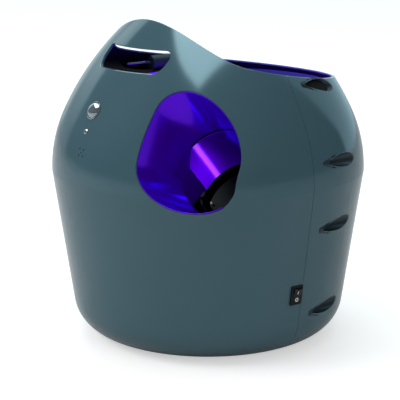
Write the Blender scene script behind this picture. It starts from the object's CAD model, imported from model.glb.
import bpy
import math
import numpy as np
from mathutils import Matrix, Vector


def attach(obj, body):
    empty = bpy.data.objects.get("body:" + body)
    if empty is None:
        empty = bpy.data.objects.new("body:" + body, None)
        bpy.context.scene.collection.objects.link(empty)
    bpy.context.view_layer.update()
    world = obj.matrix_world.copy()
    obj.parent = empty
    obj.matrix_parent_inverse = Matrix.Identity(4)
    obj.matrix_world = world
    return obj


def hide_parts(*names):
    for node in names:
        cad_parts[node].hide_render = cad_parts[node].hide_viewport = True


# Automatic dog ball launcher. Shapes are worked out in millimetres in the CAD frame: the origin
# is on the floor under the body, the ball flies towards -Y and the switch is on the +X side.
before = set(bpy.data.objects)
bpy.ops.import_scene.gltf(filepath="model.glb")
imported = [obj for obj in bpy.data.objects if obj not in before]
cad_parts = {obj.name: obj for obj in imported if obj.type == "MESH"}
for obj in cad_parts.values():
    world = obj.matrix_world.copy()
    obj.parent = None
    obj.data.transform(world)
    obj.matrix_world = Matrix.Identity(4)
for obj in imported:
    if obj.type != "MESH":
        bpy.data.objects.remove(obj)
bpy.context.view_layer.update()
mm = 0.001
axisX, axisY, axisZ = np.eye(3)
print("stage: frame loaded,", len(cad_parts), "nodes")


class Wire:
    # a shader socket that can stand in sums; every operator adds one Math node
    def __init__(self, finish, socket):
        self.finish = finish
        self.socket = socket

    def maths(self, operation, first, second=0.0):
        return self.finish.add("ShaderNodeMath", {"operation": operation}, {0: first, 1: second})

    def __add__(self, other):
        return self.maths("ADD", self, other)

    def __sub__(self, other):
        return self.maths("SUBTRACT", self, other)

    def __mul__(self, other):
        return self.maths("MULTIPLY", self, other)

    __radd__ = __add__

    def fade(self, low, high):
        # 0 below low, 1 above high, a soft step between
        return self.finish.add("ShaderNodeMapRange", {"interpolation_type": "SMOOTHSTEP"},
                               {"Value": self, "From Min": low, "From Max": high})


class Finish:
    # a material or the world, with one method that adds any node
    def __init__(self, owner):
        owner.use_nodes = True
        self.owner = owner
        self.tree = owner.node_tree

    def join(self, socket, value):
        if isinstance(value, Wire):
            self.tree.links.new(value.socket, socket)
        else:
            socket.default_value = value

    def add(self, kind, settings=None, inputs=None, output=0):
        node = self.tree.nodes.new(kind)
        for key, value in (settings or {}).items():
            setattr(node, key, value)
        self.fill(node, inputs or {})
        return Wire(self, node.outputs[output])

    def fill(self, node, inputs):
        for key, value in inputs.items():
            self.join(node.inputs[key], value)

    def blendColours(self, factor, first, second):
        return self.add("ShaderNodeMix", {"data_type": "RGBA"}, {0: factor, 6: first, 7: second}, 2)

    def place(self):
        return self.add("ShaderNodeTexCoord", output="Object")

    def grain(self, scale, detail=2.0, rough=0.5, stretch=None):
        where = self.place()
        if stretch:
            where = self.add("ShaderNodeVectorMath", {"operation": "MULTIPLY"}, {0: where, 1: stretch})
        return self.add("ShaderNodeTexNoise", None,
                        {"Vector": where, "Scale": scale, "Detail": detail, "Roughness": rough}, "Fac")


def moulded(name, low, high, rough, spread, coat=0.0, coatRough=0.05, cloud=9.0, fleck=900.0,
            bumpDepth=0.00002, bumpScale=700.0, metal=0.0, level=0.5, stretch=None, tint=(1, 1, 1), ior=1.5):
    # moulded plastic, rubber or metal: slow colour clouds, fine flecks, uneven gloss, faint texture
    finish = Finish(bpy.data.materials.new(name))
    shader = finish.tree.nodes["Principled BSDF"]
    clouds = finish.grain(cloud, 3.0).fade(0.3, 0.7)
    flecks = finish.grain(fleck, 1.0, 0.5, stretch)
    tone = clouds * 0.6 + flecks * 0.4
    skin = finish.grain(bumpScale, 2.0, 0.5, stretch)
    bump = finish.add("ShaderNodeBump", None, {"Strength": 1.0, "Distance": bumpDepth, "Height": skin})
    finish.fill(shader, {"Base Color": finish.blendColours(tone, (*low, 1), (*high, 1)),
                         "Roughness": rough + (flecks - 0.5) * spread + (clouds - 0.5) * spread,
                         "Normal": bump, "Metallic": metal, "Coat Weight": coat, "Coat Roughness": coatRough,
                         "Specular IOR Level": level, "Specular Tint": (*tint, 1), "IOR": ior})
    return finish.owner


finishes = {
    "shell": moulded("shellGloss", (0.038, 0.080, 0.101), (0.043, 0.090, 0.113), 0.13, 0.03, 0.0, 0.045,
                     7.0, 2600.0, 0.000004, 240.0, tint=(0.70, 0.91, 0.95)),
    "purple": moulded("purpleGloss", (0.052, 0.0, 0.43), (0.066, 0.0006, 0.52), 0.16, 0.04, 0.14, 0.08,
                      8.0, 2200.0, 0.000004, 260.0, level=1.0, tint=(0.14, 0.006, 1.0), ior=3.2),
    "black_plastic": moulded("blackMoulding", (0.006, 0.007, 0.009), (0.011, 0.012, 0.014), 0.42, 0.12, 0.0,
                             0.1, 14.0, 1500.0, 0.00002, 900.0),
    "nylon": moulded("nylon", (0.68, 0.65, 0.56), (0.76, 0.73, 0.65), 0.4, 0.1, 0.1, 0.3, 20.0, 900.0,
                     0.00001, 600.0),
    "board": moulded("boardGreen", (0.010, 0.075, 0.030), (0.018, 0.115, 0.048), 0.35, 0.1, 0.5, 0.1, 60.0,
                     1800.0, 0.00003, 500.0),
    "switch_black": moulded("switchGloss", (0.003, 0.0036, 0.0044), (0.005, 0.006, 0.007), 0.3, 0.08, 0.0,
                            0.08, 30.0, 1800.0, 0.000006, 900.0, 0.0, 0.25),
    "base_plastic": moulded("basePlastic", (0.020, 0.024, 0.028), (0.030, 0.035, 0.040), 0.5, 0.14, 0.0,
                            0.1, 10.0, 1200.0, 0.00006, 1400.0),
    "steel": moulded("brushedSteel", (0.42, 0.44, 0.46), (0.62, 0.64, 0.66), 0.3, 0.16, 0.0, 0.1, 40.0, 900.0,
                     0.00001, 900.0, 1.0, 0.5, (1.0, 1.0, 14.0)),
    "motor_can": moulded("motorCan", (0.36, 0.38, 0.40), (0.52, 0.54, 0.56), 0.36, 0.14, 0.0, 0.1, 40.0,
                         1000.0, 0.00001, 800.0, 1.0),
    "cell_jacket": moulded("cellJacket", (0.20, 0.12, 0.018), (0.30, 0.19, 0.035), 0.3, 0.08, 0.4, 0.1, 25.0,
                           900.0, 0.00001, 500.0, 0.6),
    "rubber": moulded("rubberBlack", (0.012, 0.012, 0.013), (0.022, 0.022, 0.024), 0.8, 0.12, 0.0, 0.1, 30.0,
                      2200.0, 0.00008, 1800.0, 0.0, 0.3),
    "brass": moulded("brass", (0.60, 0.40, 0.12), (0.72, 0.52, 0.19), 0.28, 0.12, 0.0, 0.1, 50.0, 1200.0,
                     0.00001, 900.0, 1.0),
    "wire": moulded("wireJacket", (0.020, 0.021, 0.024), (0.034, 0.036, 0.040), 0.5, 0.1, 0.1, 0.2, 60.0,
                    900.0, 0.00001, 800.0),
    "dial": moulded("dialBlack", (0.010, 0.011, 0.013), (0.018, 0.019, 0.022), 0.38, 0.1, 0.2, 0.15, 30.0,
                    1800.0, 0.00003, 1200.0),
    "mark": moulded("markWhite", (0.72, 0.72, 0.71), (0.82, 0.82, 0.81), 0.45, 0.08, 0.1, 0.2, 60.0, 1500.0,
                    0.00001, 900.0),
    "silver": moulded("lensSilver", (0.26, 0.31, 0.34), (0.36, 0.42, 0.46), 0.14, 0.06, 0.3, 0.03, 60.0,
                      1200.0, 0.000006, 500.0, 0.85),
    "pocket": moulded("pocketShade", (0.010, 0.021, 0.027), (0.015, 0.029, 0.036), 0.3, 0.06, 0.0, 0.1, 12.0,
                      1800.0, 0.00001, 700.0, 0.0, 0.3),
    "dull": moulded("dullBlack", (0.0012, 0.0012, 0.0014), (0.0022, 0.0022, 0.0024), 0.7, 0.1, 0.0, 0.1, 14.0,
                    1500.0, 0.00002, 900.0, 0.0, 0.08),
}


def clearPlastic():
    # clear moulding with a faint smoke tint and a few flow marks
    finish = Finish(bpy.data.materials.new("clearMoulding"))
    shader = finish.tree.nodes["Principled BSDF"]
    flow = finish.grain(90.0, 3.0)
    tone = finish.blendColours(flow, (0.80, 0.86, 0.90, 1), (0.92, 0.95, 0.97, 1))
    finish.fill(shader, {"Base Color": tone, "Roughness": 0.03 + flow * 0.04, "Transmission Weight": 0.85,
                         "IOR": 1.49})
    return finish.owner


finishes["clear"] = clearPlastic()
print("stage: finishes made,", len(finishes))


def unit(vectors):
    return vectors / np.maximum(np.linalg.norm(vectors, axis=-1, keepdims=True), 1e-12)


def around(count):
    return np.linspace(0, 2 * math.pi, count)


def spokes(angles, first, second):
    return np.outer(np.cos(angles), first) + np.outer(np.sin(angles), second)


def newObject(name, data):
    made = bpy.data.objects.new(name, data)
    bpy.context.scene.collection.objects.link(made)
    return made


def addPiece(name, points, faces, finish, body, replaced=(), normals=None, sharp=None):
    # one mesh in millimetres; analytic normals where they are known, else smooth by angle
    mesh = bpy.data.meshes.new(name)
    mesh.from_pydata((np.asarray(points, float) * mm).tolist(), [], [list(map(int, f)) for f in faces])
    mesh.materials.append(finishes[finish])
    piece = newObject(name, mesh)
    mesh.shade_smooth()
    if normals is not None:
        mesh.normals_split_custom_set_from_vertices(unit(np.asarray(normals, float)).tolist())
    elif sharp:
        mesh.set_sharp_from_angle(angle=math.radians(sharp))
    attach(piece, body)
    if replaced:
        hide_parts(*replaced)
    return piece


class Gather:
    # collects several parts of one piece before it becomes a mesh
    def __init__(self):
        self.points, self.normals, self.faces, self.count = [], [], [], 0

    def take(self, points, normals, faces):
        self.points.append(points)
        self.normals.append(normals)
        self.faces += [[i + self.count for i in face] for face in faces]
        self.count += len(points)
        return self

    def sheet(self, *shape):
        return self.take(*trimmedSheet(*shape))

    def piece(self, name, finish, body, replaced=()):
        return addPiece(name, np.vstack(self.points), self.faces, finish, body, replaced,
                        np.vstack(self.normals))


halvings, probe, steepest, backSlip, frontSlip = 18, 0.02, 0.85, 1.2, 6.0


def trimmedSheet(across, along, place, keep, wall=3.0, inner=0.4, steps=4):
    # A curved sheet of the given wall, trimmed where keep() falls to zero. place() gives points and
    # outward normals; keep() gives the distance to the nearest cut and that cut's edge radius.
    # Every cut gets a rounded outer edge and a wall that runs along the cutting surface.
    nu, nv = len(across), len(along)
    gridU, gridV = np.meshgrid(across, along, indexing="ij")
    gridU, gridV = gridU.ravel(), gridV.ravel()
    points, normals = place(gridU, gridV)
    kept = keep(points)[0] > 0
    index = np.arange(nu * nv).reshape(nu, nv)
    edges = np.vstack([np.stack([index[:-1].ravel(), index[1:].ravel()], 1),
                       np.stack([index[:, :-1].ravel(), index[:, 1:].ravel()], 1)])
    edges = edges[kept[edges[:, 0]] != kept[edges[:, 1]]]
    swap = ~kept[edges[:, 0]]
    edges[swap] = edges[swap][:, ::-1]
    u0, v0, u1, v1 = gridU[edges[:, 0]], gridV[edges[:, 0]], gridU[edges[:, 1]], gridV[edges[:, 1]]
    low, high = np.zeros(len(edges)), np.ones(len(edges))
    for _ in range(halvings):
        middle = (low + high) / 2
        good = keep(place(u0 + (u1 - u0) * middle, v0 + (v1 - v0) * middle)[0])[0] > 0
        low, high = np.where(good, middle, low), np.where(good, high, middle)
    cutPoints, cutNormals = place(u0 + (u1 - u0) * low, v0 + (v1 - v0) * low)
    cutId = {(min(a, b), max(a, b)): i for i, (a, b) in enumerate(edges.tolist())}
    slope = unit(np.stack([keep(cutPoints + probe * axis)[0] - keep(cutPoints - probe * axis)[0]
                           for axis in np.eye(3)], 1))
    radius = keep(cutPoints)[1]
    lift = np.clip(np.sum(slope * cutNormals, 1), -steepest, steepest)
    outward = unit(-(slope - lift[:, None] * cutNormals))
    tilt = np.arcsin(lift)
    rings, ringNormals = [], []
    for k in range(1, steps + 1):
        turn = (math.pi / 2 + tilt) * k / steps
        facing = cutNormals * np.cos(turn)[:, None] + outward * np.sin(turn)[:, None]
        rings.append(cutPoints + radius[:, None] * (facing - cutNormals))
        ringNormals.append(facing)
    downhill = -np.sin(tilt)[:, None] * outward - np.cos(tilt)[:, None] * cutNormals
    depthNow = np.sum((cutPoints - rings[-1]) * cutNormals, 1)
    reach = np.clip((wall - inner - depthNow) / np.maximum(np.cos(tilt), 0.4), 0.02, wall * 2)
    wallEnd = rings[-1] + reach[:, None] * downhill
    rings.append(wallEnd)
    ringNormals.append(ringNormals[-1])
    innerCut = cutPoints - wall * cutNormals
    spread = np.sum((wallEnd - innerCut) * outward, 1) - inner
    innerCut = innerCut + np.clip(spread, -backSlip, frontSlip)[:, None] * outward
    gridCount, cutCount = nu * nv, len(cutPoints)
    allPoints = [points, cutPoints, *rings, points - wall * normals, innerCut]
    allNormals = [normals, cutNormals, *ringNormals, -normals, -cutNormals]
    ringStart = [gridCount] + [gridCount + cutCount * (k + 1) for k in range(len(rings))]
    innerGrid = gridCount + cutCount * (len(rings) + 1)
    ringStart.append(innerGrid + gridCount)
    mid = points[index[nu // 2, nv // 2]]
    du = points[index[nu // 2 + 1, nv // 2]] - mid
    dv = points[index[nu // 2, nv // 2 + 1]] - mid
    turned = np.dot(np.cross(du, dv), normals[index[nu // 2, nv // 2]]) < 0
    corners = np.stack([index[:-1, :-1], index[1:, :-1], index[1:, 1:], index[:-1, 1:]], -1).reshape(-1, 4)
    if turned:
        corners = corners[:, ::-1]
    count = kept[corners].sum(1)
    whole = corners[count == 4]
    faces = whole.tolist() + (whole[:, ::-1] + innerGrid).tolist()
    for cell in corners[(count > 0) & (count < 4)].tolist():
        flags = [kept[c] for c in cell]
        for start in range(4):
            if flags[start] and not flags[start - 1]:
                enter = cutId[tuple(sorted((cell[start - 1], cell[start])))]
                run, at = [], start
                while flags[at % 4]:
                    run.append(cell[at % 4])
                    at += 1
                leave = cutId[tuple(sorted((cell[(at - 1) % 4], cell[at % 4])))]
                faces.append([gridCount + enter, *run, gridCount + leave])
                faces.append([ringStart[-1] + leave, *[c + innerGrid for c in reversed(run)],
                              ringStart[-1] + enter])
                for a, b in zip(ringStart[:-1], ringStart[1:]):
                    faces.append([a + enter, a + leave, b + leave, b + enter])
    used = np.zeros(sum(len(p) for p in allPoints), bool)
    for face in faces:
        used[face] = True
    renumber = np.cumsum(used) - 1
    return (np.vstack(allPoints)[used], np.vstack(allNormals)[used],
            [[int(renumber[i]) for i in face] for face in faces])


def closest(*cuts):
    # the nearest of several cuts: (distance, edge radius) pairs
    best = np.stack([distance - edge for distance, edge in cuts])
    pick = best.argmin(0)
    edges = np.stack([np.broadcast_to(edge, cuts[0][0].shape) for _, edge in cuts])
    return best.min(0), np.take_along_axis(edges, pick[None], 0)[0]


# body outline: flat, corner arc, drafted wall, dome arc, crown arc
outlineSizes = {"baseRadius": 109.5, "baseZ": 2.0, "cornerRadius": 40.0, "draft": math.radians(7.84),
                "waistRadius": 170.2, "waistZ": 182.2, "domeRadius": 149.4, "domeTurn": math.radians(25.5),
                "crownRadius": 312.6, "crownEnd": math.radians(56), "wall": 3.0, "flatRun": 5.0,
                "cornerLean": 0.14}
o = outlineSizes
cornerC = np.array([o["baseRadius"], o["baseZ"] + o["cornerRadius"]])
domeC = np.array([o["waistRadius"] - o["domeRadius"], o["waistZ"]])
crownC = domeC + (o["domeRadius"] - o["crownRadius"]) * np.array([math.cos(o["domeTurn"]),
                                                                 math.sin(o["domeTurn"])])
wallFoot = cornerC + o["cornerRadius"] * np.array([math.cos(o["draft"]), -math.sin(o["draft"])])
waist = np.array([o["waistRadius"], o["waistZ"]])
wallLength = float(np.linalg.norm(waist - wallFoot))
outlineRuns = [o["flatRun"], o["cornerRadius"] * (math.pi / 2 - o["draft"]), wallLength,
               o["domeRadius"] * o["domeTurn"], o["crownRadius"] * (o["crownEnd"] - o["domeTurn"])]
outlineStops = np.concatenate([[0], np.cumsum(outlineRuns)])
creaseRound = 0.9


def outlineAt(s):
    s = np.asarray(s, float)
    angle = np.zeros_like(s)
    r, z = np.zeros_like(s), np.zeros_like(s)
    flat = s < outlineStops[1]
    angle[flat], r[flat], z[flat] = -math.pi / 2, o["baseRadius"] - outlineStops[1] + s[flat], o["baseZ"]
    arcs = [(1, cornerC, o["cornerRadius"], -math.pi / 2), (3, domeC, o["domeRadius"], 0.0),
            (4, crownC, o["crownRadius"], o["domeTurn"])]
    for part, centre, size, start in arcs:
        on = (s >= outlineStops[part]) & ((s < outlineStops[part + 1]) | (part == 4))
        a = start + (s[on] - outlineStops[part]) / size
        angle[on], r[on], z[on] = a, centre[0] + size * np.cos(a), centre[1] + size * np.sin(a)
    on = (s >= outlineStops[2]) & (s < outlineStops[3])
    t = (s[on] - outlineStops[2]) / wallLength
    angle[on] = -o["draft"]
    r[on], z[on] = wallFoot[0] + (waist - wallFoot)[0] * t, wallFoot[1] + (waist - wallFoot)[1] * t
    nearCrease = np.abs(s - outlineStops[3]) < creaseRound
    blendIn = (s[nearCrease] - outlineStops[3] + creaseRound) / (2 * creaseRound)
    angle[nearCrease] = -o["draft"] * (1 - blendIn)
    return r, z, angle


def radiusAt(z):
    s = np.linspace(0, outlineStops[-1], 4000)
    r, zs, _ = outlineAt(s)
    return np.interp(z, zs[s > outlineStops[1]], r[s > outlineStops[1]])


def tiltAt(z):
    s = np.linspace(outlineStops[1], outlineStops[-1], 4000)
    _, zs, angle = outlineAt(s)
    return np.interp(z, zs, angle)


def bodyPoint(azimuth, s):
    # azimuth 0 is the front, 90 degrees is +X
    r, z, angle = outlineAt(s)
    side = spokes(azimuth, -axisY, axisX)
    return (side * r[:, None] + np.outer(z, axisZ),
            side * np.cos(angle)[:, None] + np.outer(np.sin(angle), axisZ))


def bodyDepth(p):
    # how far a point lies inside the outer surface
    r, z = np.hypot(p[:, 0], p[:, 1]), p[:, 2]
    dome = o["domeRadius"] - np.hypot(r - domeC[0], z - domeC[1])
    crown = o["crownRadius"] - np.hypot(r - crownC[0], z - crownC[1])
    high = (z - domeC[1]) * math.cos(o["domeTurn"]) > (r - domeC[0]) * math.sin(o["domeTurn"])
    along = (waist - wallFoot) / wallLength
    wallSide = (wallFoot[0] - r) * along[1] - (wallFoot[1] - z) * along[0]
    corner = o["cornerRadius"] - np.hypot(r - cornerC[0], z - cornerC[1])
    low = (r > cornerC[0]) & (z < wallFoot[1] + (r - wallFoot[0]) * o["cornerLean"])
    below = np.where(low, corner, wallSide)
    return np.where(z > domeC[1], np.where(high, crown, dome), below)


def bezier(p, count):
    t = np.linspace(0, 1, count)[:, None]
    p = np.asarray(p, float)
    return (1 - t) ** 3 * p[0] + 3 * t * (1 - t) ** 2 * p[1] + 3 * t ** 2 * (1 - t) * p[2] + t ** 3 * p[3]


# top edge seen from the side: a steep fall behind the crest, then the long rim
crestLine = np.vstack([[[-86.5, 400.0]], bezier([(-80.5, 352), (-76, 333), (-62, 310.2), (-38, 304.2)], 40),
                       bezier([(-38, 304.2), (10, 292.2), (70, 285), (130, 278.5)], 60)[1:],
                       [[200.0, 270.9]]])


def belowEdge(p):
    # signed distance to the top edge, positive below it
    q = p[:, 1:3]
    best = np.full(len(q), 1e9)
    sign = np.ones(len(q))
    for a, b in zip(crestLine[:-1], crestLine[1:]):
        d = b - a
        t = np.clip(((q - a) @ d) / (d @ d), 0, 1)
        away = q - a - t[:, None] * d
        size = np.hypot(away[:, 0], away[:, 1])
        closer = size < best
        best = np.where(closer, size, best)
        side = d[0] * (q[:, 1] - a[1]) - d[1] * (q[:, 0] - a[0])
        sign = np.where(closer, np.where(side > 0, -1.0, 1.0), sign)
    return best * sign


# ball path
ballPath = {"launchX": 110.0, "pivotY": -54.6, "pivotZ": 183.4, "bore": 36.0, "launchAngle": 50.0,
            "floorAngle": 20.0}
pivot = np.array([ballPath["launchX"], ballPath["pivotY"], ballPath["pivotZ"]])
bore = ballPath["bore"]


def axisFrame(degrees):
    # forward and upward directions of a line that climbs towards -Y
    a = math.radians(degrees)
    return (np.array([0, -math.cos(a), math.sin(a)]), np.array([0, math.sin(a), math.cos(a)]))


launchForward, launchUp = axisFrame(ballPath["launchAngle"])
floorForward, floorUp = axisFrame(ballPath["floorAngle"])


def channelDistance(p):
    # distance outside the ball's channel: two bores and the wedge between them
    q = p - pivot
    sideways, above, below = q[:, 0], q @ launchUp, q @ floorUp
    return np.where(above > 0, np.hypot(sideways, above),
                    np.where(below < 0, np.hypot(sideways, below), np.abs(sideways))) - bore


def surfaceFrame(z, azimuth=0.0):
    # origin, right, up and outward directions on the outer surface
    a, t = math.radians(azimuth), float(tiltAt(z))
    side = np.array([math.sin(a), -math.cos(a), 0])
    out = side * math.cos(t) + np.array([0, 0, math.sin(t)])
    right = np.array([math.cos(a), math.sin(a), 0])
    return side * float(radiusAt(z)) + np.array([0, 0, z]), right, np.cross(out, right), out


shellCuts = {"seamGap": 0.12, "seamRound": 0.4, "rimRound": 1.0, "throatLip": 1.0, "throatRound": 0.8,
             "slotRound": 0.8, "slotZ": 309.6, "slotMid": 11.8, "slotHalf": 46.6, "slotHigh": 10.9,
             "lensZ": 259.0, "lensRadius": 10.0, "lightZ": 238.0, "lightRadius": 3.0, "soundZ": 217.5,
             "soundRadius": 0.9, "soundStep": 3.4, "pocketRadius": 7.0, "pocketSeat": 16.0,
             "endCorner": 9.5, "topCorner": 2.0, "lowCorner": 10.5, "recessReach": 40, "recessEdge": 0.2,
             "plateHalfWidth": 6.65, "plateHalfHeight": 9.65, "plateFrom": 40.0, "backFrom": 100.0,
             "baseBelow": 30.0, "fineRound": 0.2, "lightRound": 0.25, "lensRound": 0.5, "baseRound": 0.4,
             "pocketRound": 0.5}
c = shellCuts
far = 50.0
pocketRows = [(281.0, 10.5), (207.5, 9.2), (140.0, 8.8), (48.0, 8.8)]
pocketSpots = [(side * (float(radiusAt(z)) - inset), z) for side in (-1, 1) for z, inset in pocketRows]
recesses = [
    {"at": np.array([-35.0, 139.0, 120.0]), "into": axisY, "across": axisX, "radius": 23.0, "round": 0.8,
     "behind": -1, "wall": 2.2},
    {"at": np.array([-144.0, 54.483, 173.856]), "into": -axisX, "across": axisY, "radius": 23.0, "round": 0.8,
     "behind": -1, "wall": 2.2},
    {"at": np.array([40.0, 139.0, 46.0]), "into": axisY, "across": axisX, "radius": 9.0, "round": 0.6,
     "behind": -6, "wall": 1.8}]
switchOrigin = np.array([154.1, -8.0, 72.4])
switchRight = np.array([0.0, 1.0, 0.0])
switchOut = np.array([math.cos(o["draft"]), 0, -math.sin(o["draft"])])
switchUp = np.cross(switchOut, switchRight)


def roundHole(p, place, radius):
    q = p - place[0]
    return np.hypot(q @ place[1], q @ place[2]) - radius


lensFrame, lightFrame, soundFrame = (surfaceFrame(c[k]) for k in ("lensZ", "lightZ", "soundZ"))


def baseCut(p):
    # the opening that the base plate fills
    return np.where(p[:, 2] < c["baseBelow"], np.hypot(p[:, 0], p[:, 1]) - o["baseRadius"], far)


def keepFront(p):
    across, up = p[:, 0] - c["slotMid"], p[:, 2] - c["slotZ"]
    corner = np.where(across > 0, c["endCorner"], np.where(up > 0, c["topCorner"], c["lowCorner"]))
    beyondX = np.abs(across) - c["slotHalf"] + corner
    beyondZ = np.abs(up) - c["slotHigh"] + corner
    slot = (np.hypot(np.maximum(beyondX, 0), np.maximum(beyondZ, 0))
            + np.minimum(np.maximum(beyondX, beyondZ), 0) - corner)
    q = p - switchOrigin
    plate = np.maximum.reduce([np.abs(q @ switchRight) - c["plateHalfWidth"],
                               np.abs(q @ switchUp) - c["plateHalfHeight"], c["plateFrom"] - p[:, 0]])
    cuts = [(-p[:, 1] - c["seamGap"], c["seamRound"]), (belowEdge(p), c["rimRound"]),
            (channelDistance(p) - c["throatLip"], c["throatRound"]), (slot, c["slotRound"]),
            (roundHole(p, lensFrame, c["lensRadius"]), c["lensRound"]),
            (roundHole(p, lightFrame, c["lightRadius"]), c["lightRound"]),
            (plate, c["fineRound"]), (baseCut(p), c["baseRound"])]
    for i, j in ((0, 0), (1, 1), (1, -1), (-1, 1), (-1, -1)):
        spot = (soundFrame[0] + c["soundStep"] * (i * soundFrame[1] + j * soundFrame[2]), *soundFrame[1:])
        cuts.append((roundHole(p, spot, c["soundRadius"]), c["fineRound"]))
    return closest(*cuts)


def keepRear(p):
    cuts = [(p[:, 1] - c["seamGap"], c["seamRound"]), (belowEdge(p), c["rimRound"]),
            (baseCut(p), c["baseRound"])]
    for x, z in pocketSpots:
        drill = np.hypot(p[:, 0] - x, p[:, 2] - z) - c["pocketRadius"]
        cuts.append((np.maximum(drill, c["pocketSeat"] - p[:, 1]), c["pocketRound"]))
    for r in recesses:
        drill = roundHole(p, (r["at"], r["across"], axisZ), r["radius"])
        cuts.append((np.maximum(drill, c["backFrom"] - p @ r["into"]), r["round"]))
    return closest(*cuts)


def spacing(low, high, step, fine=()):
    # evenly spaced lines with finer stretches (low, high, step)
    lines = [np.linspace(low, high, int(math.ceil((high - low) / step)) + 1)]
    for a, b, s in fine:
        lines.append(np.arange(a, b, s))
    lines = np.unique(np.round(np.concatenate(lines), 4))
    return lines[np.concatenate([[True], np.diff(lines) > 0.02 * step])]


def arcAt(z):
    s = np.linspace(outlineStops[1], outlineStops[-1], 6000)
    return float(np.interp(z, outlineAt(s)[1], s))


rough = 1.0
crease = outlineStops[3]
creaseLines = [crease - creaseRound, crease - creaseRound / 2, crease, crease + creaseRound / 2,
               crease + creaseRound]


def shellLines(fine):
    lines = spacing(0.0, outlineStops[-1], 1.8 * rough, fine)
    return np.unique(np.concatenate([lines[np.abs(lines - crease) > creaseRound * 1.5], creaseLines]))


soundS, lightS, lensS = arcAt(c["soundZ"]), arcAt(c["lightZ"]), arcAt(c["lensZ"])
frontFine = [(-91, -88.5, 0.2), (88.5, 91, 0.2), (-1.9, 1.9, 0.09), (-4.4, 4.4, 0.3)]
frontArcs = [(soundS - 5, soundS + 5, 0.25), (lightS - 4, lightS + 4, 0.4), (lensS - 11, lensS + 11, 0.7)]
rearFine = [(89, 91.5, 0.2), (268.5, 271, 0.2), (95, 116, 0.35), (244, 265, 0.35)]
pocketArcs = [(arcAt(z) - 7.5, arcAt(z) + 7.5, 0.7) for z, _ in pocketRows]
for name, node, start, end, fine, arcs, keep in (
        ("frontShell", "front_shell", -91.0, 91.0, frontFine, frontArcs, keepFront),
        ("rearShell", "rear_shell", 89.0, 271.0, rearFine, pocketArcs, keepRear)):
    turns = np.radians(spacing(start, end, 0.7 * rough, fine))
    sheet = Gather().sheet(turns, shellLines(arcs), bodyPoint, keep, o["wall"])
    sheet.piece(name, "shell", "housing", [node])
print("stage: shells")


# walls of the screw pockets and of the recesses
def boreWall(centre, axis, first, second, radius, start, end, wall, edge=0.15, depth=0.3):
    # inside of a drilled hole: a sleeve that faces its own axis
    def place(a, d):
        radial = spokes(a, first, second)
        return centre + radial * radius + np.outer(d, axis), -radial

    def keep(p):
        along = (p - centre) @ axis
        return closest((bodyDepth(p) - depth, edge), (along - start, 0.05), (end - along, 0.05))
    return trimmedSheet(around(73), spacing(start - 1, end + 1, 1.6), place, keep, wall, 0.1, 2)


def flatDisc(centre, axis, first, second, outer, hole, wall, edge=0.15, depth=0.3):
    def place(a, d):
        radial = spokes(a, first, second)
        return centre + radial * d[:, None], np.tile(axis, (len(a), 1))

    def keep(p):
        away = np.linalg.norm(np.cross(p - centre, axis), axis=1)
        return closest((bodyDepth(p) - depth, edge), (outer - away, edge), (away - hole, edge))
    return trimmedSheet(around(73), np.linspace(hole - 1, outer + 1, 12), place, keep, wall, 0.1, 2)


sleeve = {"wall": 1.6, "reach": 90, "seat": 1.5, "seatRadius": 8.4, "screwHole": 2.25}
sleeves = Gather()
for x, z in pocketSpots:
    seat = np.array([x, c["pocketSeat"], z])
    sleeves.take(*boreWall(seat, axisY, axisX, axisZ, c["pocketRadius"], -sleeve["seat"], sleeve["reach"],
                           sleeve["wall"]))
    sleeves.take(*flatDisc(seat, axisY, axisZ, axisX, sleeve["seatRadius"], sleeve["screwHole"],
                           sleeve["seat"]))
sleeves.piece("pocketSleeves", "pocket", "housing")
recessWalls = Gather()
for r in recesses:
    recessWalls.take(*boreWall(r["at"], r["into"], r["across"], axisZ, r["radius"], r["behind"],
                               c["recessReach"], r["wall"], c["recessEdge"]))
recessWalls.piece("recessWalls", "shell", "housing")
print("stage: pockets and recesses")

# throat liner and launch tube
tube = {"wall": 1.5, "reach": 47.6, "lowStart": 6.0, "lowFall": 0.87, "sideFall": 0.95, "sideCut": 49.2,
        "tail": 7.0, "gap": 1.0, "lip": 0.8, "splitY": -10.0, "floorReach": 39.5, "floorTurn": 14.0,
        "shortest": 33.0, "outer": 37.5, "outerX": 145.6, "cheekSide": 2.0, "mouthRound": 0.45,
        "tailGap": 0.6}


def mouthHeight(sideways, above):
    # how far forward the tube reaches on each of its lines
    full = tube["reach"] - tube["lowFall"] * np.maximum(tube["lowStart"] - above, 0)
    past = sideways - tube["cheekSide"]
    return np.minimum(np.maximum(full, tube["shortest"]),
                      np.where(past > 0, tube["sideCut"] - tube["sideFall"] * past, 1e3))


def sweptRadius(sideways):
    # largest distance from the pivot's axis that the mouth reaches at this sideways place
    rise = np.sqrt(np.maximum(1 - (sideways / tube["outer"]) ** 2, 0)) * tube["outer"]
    return np.hypot(mouthHeight(np.zeros_like(rise), np.maximum(rise, tube["lowStart"])), rise)


def linerPlace(k, d):
    # k runs round the channel: upper half, left side, lower half, right side
    part = np.floor(k).astype(int) % 4
    t = k - np.floor(k)
    points, facing = np.zeros((len(k), 3)), np.zeros((len(k), 3))
    for which, forward, up, sign in ((0, launchForward, launchUp, 1), (2, floorForward, floorUp, -1)):
        on = part == which
        a = math.pi * t[on]
        radial = sign * spokes(a, axisX, up)
        points[on] = pivot + radial * bore + np.outer(d[on], forward)
        facing[on] = -radial
    for which, sign in ((1, -1), (3, 1)):
        on = part == which
        span = math.radians(ballPath["launchAngle"] - ballPath["floorAngle"])
        low = math.radians(ballPath["floorAngle"])
        a = low + span * (1 - t[on] if which == 1 else t[on])
        line = spokes(a, -axisY, axisZ)
        points[on] = pivot + sign * bore * axisX + line * d[on][:, None]
        facing[on] = -sign * axisX
    return points, facing


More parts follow.
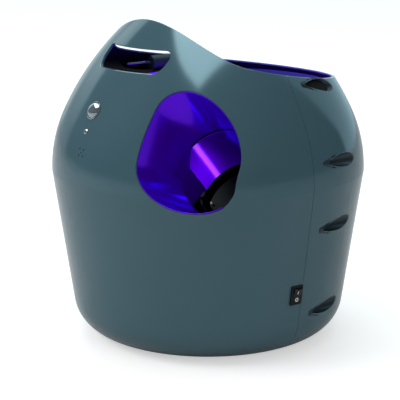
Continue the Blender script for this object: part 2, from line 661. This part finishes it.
def linerKeep(p):
    q = p - pivot
    spread = np.hypot(q[:, 1], q[:, 2])
    turn = np.degrees(np.arctan2(q[:, 2], -q[:, 1]))
    swept = np.where(turn < tube["floorTurn"], tube["floorReach"], sweptRadius(q[:, 0]) + tube["gap"])
    return closest((bodyDepth(p) - 0.3, 0.3), (spread - swept, 0.3), (tube["outerX"] - p[:, 0], 0.3))


aroundLiner = np.concatenate([np.linspace(0, 1, 61), np.linspace(1, 2, 41)[1:], np.linspace(2, 3, 61)[1:],
                              np.linspace(3, 4, 41)[1:]])
liner = Gather().sheet(aroundLiner, spacing(25, 150, 1.5 * rough), linerPlace, linerKeep, tube["lip"], 0.15)
liner.piece("throatLiner", "purple", "housing", ["launch_throat"])


def tubePlace(a, d):
    radial = spokes(a, axisX, launchUp)
    return pivot + radial * bore + np.outer(d, launchForward), -radial


def tubeKeep(p):
    q = p - pivot
    forward = q @ launchForward
    return closest((mouthHeight(q[:, 0], q @ launchUp) - forward, tube["mouthRound"]), (forward + 0.4, 0.2),
                   (q @ launchUp - tube["splitY"], 0.3))


def tailKeep(p):
    # black ring behind the pivot
    forward = (p - pivot) @ launchForward
    return closest((-tube["tailGap"] - forward, 0.3), (forward + tube["tail"], 0.2))


barrel = Gather()
barrel.sheet(around(181), spacing(-9, 50, 1.2 * rough), tubePlace, tubeKeep, tube["wall"], 0.3)


def lathe(profile, centre, axis, count, first):
    # turned part from a closed outline of (radius, height) points, with its own normals
    profile = np.asarray(profile, float)
    first = unit(first - (first @ axis) * axis)
    second = np.cross(axis, first)
    ahead = np.roll(profile, -1, 0) - profile
    flat = unit(np.stack([ahead[:, 1], -ahead[:, 0]], 1))
    turn = np.arange(count) / count * 2 * math.pi
    radial = spokes(turn, first, second)
    points, normals, faces = [], [], []
    n = len(profile)
    for i in range(n):
        for j, end in enumerate((i, (i + 1) % n)):
            points.append(centre + radial * profile[end][0] + axis * profile[end][1])
            near = flat[(i - 1) % n] if j == 0 else flat[(i + 1) % n]
            soft = flat[i] + (near if near @ flat[i] > 0.82 else 0)
            soft = soft / np.linalg.norm(soft)
            normals.append(radial * soft[0] + axis * soft[1])
        base = 2 * i * count
        if max(profile[i][0], profile[(i + 1) % n][0]) > 1e-6:
            for k in range(count):
                m = (k + 1) % count
                quad = [base + k, base + m, base + count + m, base + count + k]
                if profile[i][0] < 1e-6:
                    quad = [base + k, base + count + m, base + count + k]
                elif profile[(i + 1) % n][0] < 1e-6:
                    quad = [base + k, base + m, base + count + k]
                faces.append(quad)
    return np.vstack(points), np.vstack(normals), faces


def rounded(corners, radius, steps=4):
    # closed (r, z) outline with rounded corners; points on the axis stay sharp
    corners = [np.asarray(q, float) for q in corners]
    out = []
    for i, q in enumerate(corners):
        before, after = corners[i - 1], corners[(i + 1) % len(corners)]
        if q[0] < 1e-6:
            out.append(q)
            continue
        d0, d1 = (before - q), (after - q)
        l0, l1 = np.linalg.norm(d0), np.linalg.norm(d1)
        d0, d1 = d0 / l0, d1 / l1
        half = math.acos(max(-1, min(1, float(d0 @ d1)))) / 2
        reach = min(radius / math.tan(half), 0.48 * l0, 0.48 * l1)
        size = reach * math.tan(half)
        middle = q + unit(d0 + d1) * size / math.sin(half)
        start, end = q + d0 * reach - middle, q + d1 * reach - middle
        a0, a1 = math.atan2(start[1], start[0]), math.atan2(end[1], end[0])
        turn = (a1 - a0 + math.pi) % (2 * math.pi) - math.pi
        out += [middle + size * np.array([math.cos(a0 + turn * k / steps), math.sin(a0 + turn * k / steps)])
                for k in range(steps + 1)]
    return np.array(out)


pins = {"radius": 6.0, "root": 37.3, "edge": 0.8}
for side, reachOut in ((-1, 4.0), (1, 7.5)):
    pin = rounded([(0, -1), (pins["radius"], -1), (pins["radius"], reachOut), (0, reachOut)], pins["edge"])
    barrel.take(*lathe(pin, pivot + side * pins["root"] * axisX, side * axisX, 48, axisY))
launchTube = barrel.piece("launchTube", "purple", "cradle", ["launch_tube"])
tail = Gather().sheet(around(181), spacing(-9, 3, 1.2), tubePlace, tailKeep, tube["wall"], 0.3)
tail.piece("tubeTail", "dull", "cradle")

# fixed side wall beside the tube, seen through the tube's open underside
cheek = {"inner": -37.75, "wall": 0.5, "reach": 64.0, "hole": 6.6, "edge": 3.6, "back": 1.0, "round": 0.1}


def cheekPlace(a, d):
    line = spokes(a, -axisY, axisZ)
    return pivot + cheek["inner"] * axisX + line * d[:, None], np.tile(axisX, (len(a), 1))


def cheekKeep(p):
    away = np.hypot(p[:, 1] - pivot[1], p[:, 2] - pivot[2])
    forward = (p - pivot) @ launchForward
    cuts = (cheek["reach"] - away, away - cheek["hole"], bodyDepth(p) - cheek["edge"],
            forward + cheek["back"])
    return closest(*[(cut, cheek["round"]) for cut in cuts])


plate = Gather().sheet(around(145), np.linspace(5, 66, 50), cheekPlace, cheekKeep, cheek["wall"], 0.05, 1)
plate.piece("throatCheek", "purple", "housing")
print("stage: throat and tube")

# hopper bowl
bowl = {"outlet": np.array([0.0, -20.0, 214.0]), "tilt": math.radians(-12.6), "slope": math.radians(36),
        "wall": 2.5, "start": 32.0, "rimZ": 291.0, "rimLean": 0.12, "ringZ": 270.5,
        "shellGap": 3.45, "channelGap": 2.8, "pocketGap": 9.3, "pocketFrom": 30.0, "spoutZ": 204.0}
bowlUp = np.array([0, -math.sin(bowl["tilt"]), math.cos(bowl["tilt"])])
bowlBack = np.array([0, math.cos(bowl["tilt"]), math.sin(bowl["tilt"])])


def bowlPlace(a, t):
    radial = spokes(a, axisX, bowlBack)
    r, h = bowl["start"] + t * math.cos(bowl["slope"]), t * math.sin(bowl["slope"])
    facing = -radial * math.sin(bowl["slope"]) + bowlUp * math.cos(bowl["slope"])
    return bowl["outlet"] + radial * r[:, None] + bowlUp * h[:, None], facing


def bowlKeep(p, upper):
    # upper is 1 above the dark band's lower edge and -1 below it
    rim = bowl["rimZ"] - bowl["rimLean"] * p[:, 1] - p[:, 2]
    cuts = [(bodyDepth(p) - bowl["shellGap"], 0.3), (rim, 0.8),
            (channelDistance(p) - bowl["channelGap"], 0.2),
            (np.hypot(p[:, 0], p[:, 1] - bowl["outlet"][1]) - bore, 0.6),
            (upper * (p[:, 2] - bowl["ringZ"]), 0.1)]
    for x, z in pocketSpots:
        drill = np.hypot(p[:, 0] - x, p[:, 2] - z) - bowl["pocketGap"]
        cuts.append((np.maximum(drill, -bowl["pocketFrom"] - p[:, 1]), 0.2))
    return closest(*cuts)


hopper = Gather()
bowlAngles = np.linspace(math.pi / 2, 2.5 * math.pi, 241)
bowlLines, ringLines = (spacing(start, 178, 1.8 * rough) for start in (-3, 60))
hopper.sheet(bowlAngles, bowlLines, bowlPlace, lambda p: bowlKeep(p, -1), bowl["wall"], 0.3)
ring = Gather().sheet(bowlAngles, ringLines, bowlPlace, lambda p: bowlKeep(p, 1), bowl["wall"], 0.3)
ring.piece("hopperRing", "dull", "housing")


def spoutPlace(a, d):
    radial = spokes(a, axisX, axisY)
    centre = np.array([*bowl["outlet"][:2], 0])
    return centre + radial * bore + np.outer(d, axisZ), -radial


def spoutKeep(p):
    q = p - bowl["outlet"]
    high = q @ bowlUp
    out = np.hypot(q[:, 0], q @ bowlBack)
    cone = (out - bowl["start"]) * math.sin(bowl["slope"]) - high * math.cos(bowl["slope"])
    return closest((cone, 0.3), (p[:, 2] - bowl["spoutZ"], 0.3))


hopper.sheet(around(145), spacing(202, 236, 1.2), spoutPlace, spoutKeep, bowl["wall"], 0.3)
hopperBowl = hopper.piece("hopperBowl", "purple", "housing", ["hopper_bowl"])


# thin dark sheet on the shell's inner side, above the bowl
collar = {"inset": 3.05, "edge": 2.4, "frontY": -62.0, "wall": 0.25}


def collarPlace(azimuth, s):
    points, normals = bodyPoint(azimuth, s)
    return points - collar["inset"] * normals, -normals


def collarKeep(p):
    return closest((belowEdge(p) - collar["edge"], 0.1), (p[:, 2] - bowl["ringZ"], 0.1),
                   (p[:, 1] - collar["frontY"], 0.1))


band = Gather().sheet(np.radians(np.arange(0, 361.0, 1.5 * rough)), spacing(arcAt(255), arcAt(330), 1.5),
                      collarPlace, collarKeep, collar["wall"], 0.02, 1)
band.piece("hopperCollar", "dull", "housing")
print("stage: hopper")

# handle behind the crest
grip = {"low": 321.0, "wall": 2.5, "edge": 1.2, "shellGap": 3.35}
crestOnly = crestLine[1:60]
crestSteps = np.arange(len(crestOnly))


def gripPlace(x, t):
    y, z = (np.interp(t, crestSteps, crestOnly[:, k]) for k in (0, 1))
    slopeY, slopeZ = (np.interp(t, crestSteps, np.gradient(crestOnly[:, k])) for k in (0, 1))
    facing = unit(np.stack([np.zeros_like(y), -slopeZ, slopeY], 1))
    return np.stack([x, y, z], 1), facing


def gripKeep(p):
    return closest((bodyDepth(p) - grip["shellGap"], 0.4), (p[:, 2] - grip["low"], grip["edge"]))


def gripFloor(x, y):
    return (np.stack([x, y, np.full_like(x, grip["low"])], 1), np.tile(-axisZ, (len(x), 1)))


def gripFloorKeep(p):
    return closest((bodyDepth(p) - grip["shellGap"], 0.4), (belowEdge(p), grip["edge"]))


handle = Gather()
acrossGrip = spacing(-95, 95, 1.6 * rough)
handle.sheet(acrossGrip, np.arange(0, 40, 0.5), gripPlace, gripKeep, grip["wall"], 0.3)
handle.sheet(acrossGrip, spacing(-112, -60, 1.2), gripFloor, gripFloorKeep, grip["wall"], 0.3)
handle.piece("handleGrip", "shell", "housing", ["handle_grip"])
print("stage: handle")

# sensor, light
lens = {"radius": 9.6, "dome": 4.6, "sweep": 1.25, "share": 0.86, "lift": 0.4,
        "rim": [(0, -4), (9.85, -4), (9.85, 0.3), (9.2, 0.7)], "foot": 0.5}
lensEnd = math.cos(lens["sweep"])
arc = [(lens["radius"] * math.sin(a), lens["dome"] * (math.cos(a) - lensEnd) / (1 - lensEnd))
       for a in np.linspace(0, lens["sweep"], 13)]
arc = [(r / math.sin(lens["sweep"]) * lens["share"], z + lens["lift"]) for r, z in arc]
dome = lens["rim"] + [(arc[-1][0], lens["foot"])] + arc[::-1][1:]
led = [(0, -6), (2.85, -6), (2.85, 0.25), (2.6, 0.6), (2.2, 1.2), (1.5, 1.6), (0.7, 1.85), (0, 1.9)]
for name, node, outline, place, count in (("sensorLens", "sensor_lens", dome, lensFrame, 72),
                                          ("statusLight", "status_light", led, lightFrame, 48)):
    turned = lathe(outline, place[0], place[3], count, place[1])
    Gather().take(*turned).piece(name, "silver", "housing", [node])

# power switch
switchSize = {"width": 15.0, "height": 21.0, "rockerWidth": 10.6, "rockerHeight": 16.6, "rockerGap": 0.3,
              "lean": math.radians(7), "pivotDepth": -1.0, "hollow": 3.12, "rise": 1.2, "curve": 1.35}


def toWorld(local, place):
    # place holds the origin and the right, up and outward directions
    return place[0] + np.asarray(local, float) @ np.array(place[1:])


def roundRect(halfW, halfH, radius, steps=6):
    out = []
    for cx, cy, a0 in ((1, 1, 0), (-1, 1, 90), (-1, -1, 180), (1, -1, 270)):
        for k in range(steps + 1):
            a = math.radians(a0 + 90 * k / steps)
            out.append((cx * (halfW - radius) + radius * math.cos(a),
                        cy * (halfH - radius) + radius * math.sin(a)))
    return np.array(out)


def frameBand(layers, place):
    # closed band through a list of (half width, half height, corner radius, height) outlines
    rings = []
    for w, h, r, z in layers:
        loop = roundRect(w, h, r)
        rings.append(toWorld(np.column_stack([loop, np.full(len(loop), z)]), place))
    n = len(rings[0])
    faces = []
    for i in range(len(rings)):
        a, b = i * n, ((i + 1) % len(rings)) * n
        for k in range(n):
            m = (k + 1) % n
            faces.append([a + k, a + m, b + m, b + k])
    return np.vstack(rings), faces


w, h = switchSize["width"] / 2, switchSize["height"] / 2
inW, inH = (switchSize[k] / 2 + switchSize["rockerGap"] for k in ("rockerWidth", "rockerHeight"))
layers = [(w, h, 1.2, 0.15), (w, h, 1.2, 1.5), (w - 0.15, h - 0.15, 1.1, 1.85),
          (w - 0.55, h - 0.55, 0.9, 2.15), (inW + 0.35, inH + 0.35, 0.6, 2.15),
          (inW + 0.08, inH + 0.08, 0.5, 1.9), (inW, inH, 0.5, 1.5), (inW, inH, 0.5, -5.0),
          (w - 1.0, h - 1.0, 0.9, -5.0), (w - 1.0, h - 1.0, 0.9, 0.15)]
points, faces = frameBand(layers, (switchOrigin, switchRight, switchUp, switchOut))
addPiece("switchBezel", points, faces, "switch_black", "housing", ["switch_bezel"], sharp=40)
lean = switchSize["lean"]
rockUp = switchUp * math.cos(lean) + switchOut * math.sin(lean)
rockOut = switchOut * math.cos(lean) - switchUp * math.sin(lean)
rockFrame = (switchOrigin + switchSize["pivotDepth"] * switchOut, switchRight, rockUp, rockOut)
edgeY = switchSize["rockerHeight"] / 2 - 0.4


def rockerTop(y):
    return switchSize["hollow"] + switchSize["rise"] * (abs(y) / edgeY) ** switchSize["curve"]


profile = [(-edgeY, 0.4), (-edgeY, 3.9), (-edgeY + 0.15, 4.25), (-edgeY + 0.5, 4.38)]
profile += [(y, rockerTop(y)) for y in np.linspace(-edgeY + 1.2, edgeY - 1.2, 15)]
profile += [(edgeY - 0.5, 4.38), (edgeY - 0.15, 4.25), (edgeY, 3.9), (edgeY, 0.4), (3, -2), (-3, -2)]
halfW = switchSize["rockerWidth"] / 2
local, faces = [], []
for x, shrink in ((-halfW, 0.25), (-halfW + 0.12, 0.08), (-halfW + 0.3, 0.0), (halfW - 0.3, 0.0),
                  (halfW - 0.12, 0.08), (halfW, 0.25)):
    local += [(x, y * (1 - shrink / 9), z - shrink if z > 1 else z) for y, z in profile]
n = len(profile)
for i in range(5):
    for k in range(n):
        m = (k + 1) % n
        faces.append([i * n + k, (i + 1) * n + k, (i + 1) * n + m, i * n + m])
faces += [list(range(n)), list(range(5 * n, 6 * n))[::-1]]
addPiece("switchRocker", toWorld(local, rockFrame), faces, "switch_black", "rocker_body", ["switch_rocker"],
         sharp=32)
local, faces = [], []
markSize = {"halfBar": 0.42, "barFrom": 2.2, "barTo": 5.9, "inner": 1.3, "outer": 2.05, "ringAt": -4.1,
            "sunk": -0.2, "proud": 0.06}
sunk, proud = markSize["sunk"], markSize["proud"]
for x in (-markSize["halfBar"], markSize["halfBar"]):
    for y in np.linspace(markSize["barFrom"], markSize["barTo"], 7):
        local += [(x, y, rockerTop(y) + sunk), (x, y, rockerTop(y) + proud)]
for k in range(6):
    a, b = 2 * k, 14 + 2 * k
    faces += [[a + 1, b + 1, b + 3, a + 3], [a, a + 1, a + 3, a + 2], [b, b + 2, b + 3, b + 1]]
faces += [[0, 14, 15, 1], [12, 13, 27, 26]]
ringCount, ringStart = 40, len(local)
for k in range(ringCount):
    a = 2 * math.pi * k / ringCount
    for r, up in ((markSize["inner"], sunk), (markSize["inner"], proud), (markSize["outer"], proud),
                  (markSize["outer"], sunk)):
        x, y = r * math.cos(a), markSize["ringAt"] + r * math.sin(a)
        local.append((x, y, rockerTop(y) + up))
for k in range(ringCount):
    a, b = ringStart + 4 * k, ringStart + 4 * ((k + 1) % ringCount)
    for e in range(3):
        faces.append([a + e, a + e + 1, b + e + 1, b + e])
addPiece("rockerMarks", toWorld(local, rockFrame), faces, "mark", "rocker_body", sharp=30)
print("stage: switch")

# everything else keeps its CAD shape and takes a finish; small bevels soften its edges
carried = {
    "dull": {"breech": 0.5, "angle_quadrant": 0.0, "feed_chute": 0.5, "striker_guide": 0.4, "striker": 0.3},
    "black_plastic": {"guide_cap": 0.3, "lever_switch": 0.2, "speaker": 0.2, "dc_jack": 0.3,
                      "battery_tray": 0.4},
    "nylon": {"cocking_gear": 0.0, "pivot_bush": 0.2, "ball_lever": 0.2},
    "rubber": {"striker_pad": 0.2, "rubber_feet": 0.6},
    "steel": {"launch_spring": 0.0, "gear_axle": 0.2, "battery_contacts": 0.2, "door_screws": 0.1,
              "shell_screws": 0.2, "base_screws": 0.1, "distance_pot": 0.2},
    "motor_can": {"drive_motor": 0.6},
    "brass": {"motor_pinion": 0.0},
    "base_plastic": {"gear_frame": 0.3, "trunnion_bracket": 0.3, "base_plate": 0.4, "battery_door": 0.4},
    "board": {"control_board": 0.0, "sensor_board": 0.1},
    "dial": {"distance_dial": 0.4, "angle_dial": 0.4},
    "shell": {"rear_panel": 0.4, "side_panel": 0.4},
    "cell_jacket": {"batteries": 0.5},
    "wire": {"wire_loom": 0.0},
}
for finish, nodes in carried.items():
    for node, width in nodes.items():
        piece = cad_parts[node]
        if not piece.data.materials:
            piece.data.materials.append(finishes[finish])
        for k in range(len(piece.data.materials)):
            piece.data.materials[k] = finishes[finish]
        if width:
            edge = piece.modifiers.new("edge", "BEVEL")
            edge.width, edge.segments, edge.limit_method = width * mm, 2, "ANGLE"
            edge.angle_limit = math.radians(40)
print("stage: carried nodes")

# studio: floor, reflected surroundings, lamps, camera
studio = {"floorSize": 8.0, "floorTone": 0.55, "ambient": 0.66, "key": 30.0, "fill": 7.0, "top": 6.0,
          "darkFlag": 0.035, "bandLight": 0.92, "softbox": 8.8, "domeRadius": 5.0, "floorGlow": 0.52,
          "floorSpeck": 0.02, "floorRough": 0.55}
world = bpy.data.worlds.new("studioWorld")
bpy.context.scene.world = world
sky = Finish(world)
background = sky.tree.nodes["Background"]
rays = sky.tree.nodes.new("ShaderNodeLightPath")
seen = (Wire(sky, rays.outputs["Is Camera Ray"]) + Wire(sky, rays.outputs["Is Glossy Ray"])
        + Wire(sky, rays.outputs["Is Transmission Ray"]))
seen = seen.maths("MINIMUM", seen, 1.0)
sky.join(background.inputs["Strength"], studio["ambient"] + seen * (1 - studio["ambient"]))
background.inputs["Color"].default_value = (1, 1, 1, 1)


def floorPaper():
    finish = Finish(bpy.data.materials.new("floorPaper"))
    shader = finish.tree.nodes["Principled BSDF"]
    speck = finish.grain(60.0, 3.0)
    tone = studio["floorTone"]
    pale = tone + studio["floorSpeck"]
    colour = finish.blendColours(speck, (tone, tone, tone, 1), (pale, pale, pale, 1))
    finish.fill(shader, {"Base Color": colour, "Roughness": studio["floorRough"]})
    path = finish.tree.nodes.new("ShaderNodeLightPath")
    white = Wire(finish, path.outputs["Is Camera Ray"]) * studio["floorGlow"]
    glow = finish.add("ShaderNodeEmission", None, {"Color": (1, 1, 1, 1), "Strength": white})
    both = finish.add("ShaderNodeAddShader", None, {0: Wire(finish, shader.outputs[0]), 1: glow})
    finish.join(finish.tree.nodes["Material Output"].inputs["Surface"], both)
    return finish.owner


half = studio["floorSize"]
mesh = bpy.data.meshes.new("floor")
mesh.from_pydata([(-half, -half, 0), (half, -half, 0), (half, half, 0), (-half, half, 0)], [], [(0, 1, 2, 3)])
mesh.materials.append(floorPaper())
newObject("floor", mesh)


def stepUp(x, low, high):
    t = np.clip((x - low) / (high - low), 0, 1)
    return t * t * (3 - 2 * t)


reflected = {
    "leftLevels": [-15, 0, 20, 25, 34, 41, 60], "leftEdge": [-80, -74.5, -74, -76, -78, -84, -95],
    "rightLevels": [-11, 5, 12, 19, 24, 32, 60], "rightEdge": [170.5, 170, 168, 165, 161, 155, 130],
    "boxAcross": [-2.0, -0.32, -0.14, 0.0, 0.15, 0.4], "boxFront": [0.8, -0.28, -0.38, -0.44, -0.47, -0.46],
    "boxBack": 0.4, "boxRight": 0.37}


def surroundings(direction):
    # what gloss reflects: dark flags in front, light walls left and right, a softbox overhead
    x, y, z = direction.T
    azimuth = np.degrees(np.arctan2(x, -y))
    level = np.degrees(np.arcsin(np.clip(z, -1, 1)))
    turn = np.where(azimuth < -100, azimuth + 360, azimuth)
    leftEdge = np.interp(level, reflected["leftLevels"], reflected["leftEdge"])
    rightEdge = np.interp(level, reflected["rightLevels"], reflected["rightEdge"])
    left = 1 - stepUp(turn, leftEdge - 2.5, leftEdge + 1.0)
    right = stepUp(turn, rightEdge - 2.0, rightEdge + 2.5)
    leftGlow = 0.5 + 1.1 * stepUp(level, 6, 30) * stepUp(turn, -118, -92)
    rightGlow = 0.96 - 0.18 * stepUp(level, 0, 20)
    band = np.maximum(left * leftGlow, right * rightGlow) * studio["bandLight"]
    dark = studio["darkFlag"] + 0.10 * stepUp(level, -12, 20) * (1 - stepUp(turn, 60, 130))
    light = dark * (1 - np.maximum(left, right)) + band
    # the softbox is flat: its outline is drawn on a plane one unit overhead
    across, along = x / np.maximum(z, 1e-3), y / np.maximum(z, 1e-3)
    front = np.interp(across, reflected["boxAcross"], reflected["boxFront"])
    inBox = ((z > 0.05) * stepUp(reflected["boxBack"] - along, -0.15, 0.15)
             * stepUp(reflected["boxRight"] - across, -0.012, 0.012) * stepUp(along - front, -0.012, 0.012))
    return light * (1 - inBox) + inBox * studio["softbox"]


def reflectedRoom():
    rows, cols = np.radians(np.arange(-6, 90.1, 0.75)), np.radians(np.arange(0, 360, 0.75))
    level, turn = np.meshgrid(rows, cols, indexing="ij")
    direction = np.stack([np.sin(turn) * np.cos(level), -np.cos(turn) * np.cos(level), np.sin(level)], -1)
    flat = direction.reshape(-1, 3)
    index = np.arange(len(flat)).reshape(level.shape)
    nextCol = np.roll(index, -1, 1)
    quads = np.stack([index[:-1], index[1:], nextCol[1:], nextCol[:-1]], -1).reshape(-1, 4)
    mesh = bpy.data.meshes.new("reflectedRoom")
    mesh.from_pydata((flat * studio["domeRadius"]).tolist(), [], quads.tolist())
    tone = mesh.color_attributes.new("tone", "FLOAT_COLOR", "POINT")
    light = surroundings(flat)
    cool = stepUp(flat[:, 1], 0.3, 0.8)
    colour = np.column_stack([light * (0.82 - 0.14 * cool), light, light * (1.06 + 0.10 * cool),
                              np.ones_like(light)])
    tone.data.foreach_set("color", colour.ravel())
    finish = Finish(bpy.data.materials.new("roomLight"))
    read = finish.add("ShaderNodeAttribute", {"attribute_name": "tone"}, None, "Color")
    glow = finish.add("ShaderNodeEmission", None, {"Color": read, "Strength": 1.0})
    finish.join(finish.tree.nodes["Material Output"].inputs["Surface"], glow)
    mesh.materials.append(finish.owner)
    room = newObject("reflectedRoom", mesh)
    room.visible_camera = room.visible_diffuse = room.visible_shadow = False
    room.visible_transmission = room.visible_volume_scatter = False


reflectedRoom()


def areaLamp(name, shape, power, glossy):
    light = bpy.data.lights.new(name, "AREA")
    light.shape, light.energy = shape, power
    holder = newObject(name, light)
    holder.visible_glossy = glossy
    return light, holder


# small lamps that light one piece each: the bright line and the glow in the tube, the glow in the hopper
linkedLamps = [
    {"name": "boreStrip", "spot": pivot + 34.5 * axisX + 0.7 * launchUp - 22.0 * launchForward,
     "size": (0.056, 0.016), "power": 0.014, "spread": 1.5, "gloss": True, "aim": -axisX,
     "long": launchForward, "on": launchTube},
    {"name": "boreGlow", "spot": pivot + 2.0 * axisX - 4.0 * launchUp + 18.0 * launchForward,
     "size": (0.03, 0.01), "power": 0.0135, "spread": 1.6, "gloss": False, "aim": -axisX,
     "long": launchForward, "on": launchTube},
    {"name": "hopperGlow", "spot": np.array([10.0, 40.0, 560.0]), "size": (0.12, 0.12), "power": 4.5,
     "spread": 2.4, "gloss": False, "aim": np.array([0.0, 0.35, -0.94]), "long": axisX, "on": hopperBowl}]
for entry in linkedLamps:
    light, holder = areaLamp(entry["name"], "RECTANGLE", entry["power"], entry["gloss"])
    light.spread = entry["spread"]
    light.size, light.size_y = entry["size"]
    across = np.cross(-entry["aim"], entry["long"])
    turned = Matrix([entry["long"], across, -entry["aim"]]).transposed().to_4x4()
    holder.matrix_world = Matrix.Translation(Vector(entry["spot"] * mm)) @ turned
    holder.visible_camera = False
    lit = bpy.data.collections.new(entry["name"])
    lit.objects.link(entry["on"])
    holder.light_linking.receiver_collection = lit

middle = (0, 0, 0.17)
for name, place, size, power in (("keyLamp", (-0.9, -1.6, 1.5), 1.4, studio["key"]),
                                 ("topLamp", (-0.2, 0.2, 2.0), 1.6, studio["top"]),
                                 ("fillLamp", (2.0, -0.6, 0.9), 1.2, studio["fill"])):
    light, holder = areaLamp(name, "DISK", power, False)
    light.size = size
    holder.location = place
    holder.rotation_euler = (Vector(middle) - Vector(place)).to_track_quat("-Z", "Y").to_euler()

eye = {"azimuth": 51.18, "elevation": 13.54, "distance": 1.5, "aimZ": 0.1427, "focalPixels": 1357.0,
       "shift": -0.02, "pixels": 400, "sensor": 36.0, "near": 0.05, "farOff": 60}
a, e = math.radians(eye["azimuth"]), math.radians(eye["elevation"])
back = Vector((math.sin(a) * math.cos(e), -math.cos(a) * math.cos(e), math.sin(e)))
cameraData = bpy.data.cameras.new("camera")
cameraData.sensor_width = eye["sensor"]
cameraData.lens = eye["focalPixels"] / eye["pixels"] * eye["sensor"]
cameraData.shift_x = eye["shift"]
cameraData.clip_start, cameraData.clip_end = eye["near"], eye["farOff"]
camera = newObject("camera", cameraData)
camera.location = Vector((0, 0, eye["aimZ"])) + back * eye["distance"]
camera.rotation_mode = "QUATERNION"
camera.rotation_quaternion = (-back).to_track_quat("-Z", "Y")
bpy.context.scene.camera = camera
bpy.context.scene.view_settings.view_transform = "Standard"
print("stage: studio")
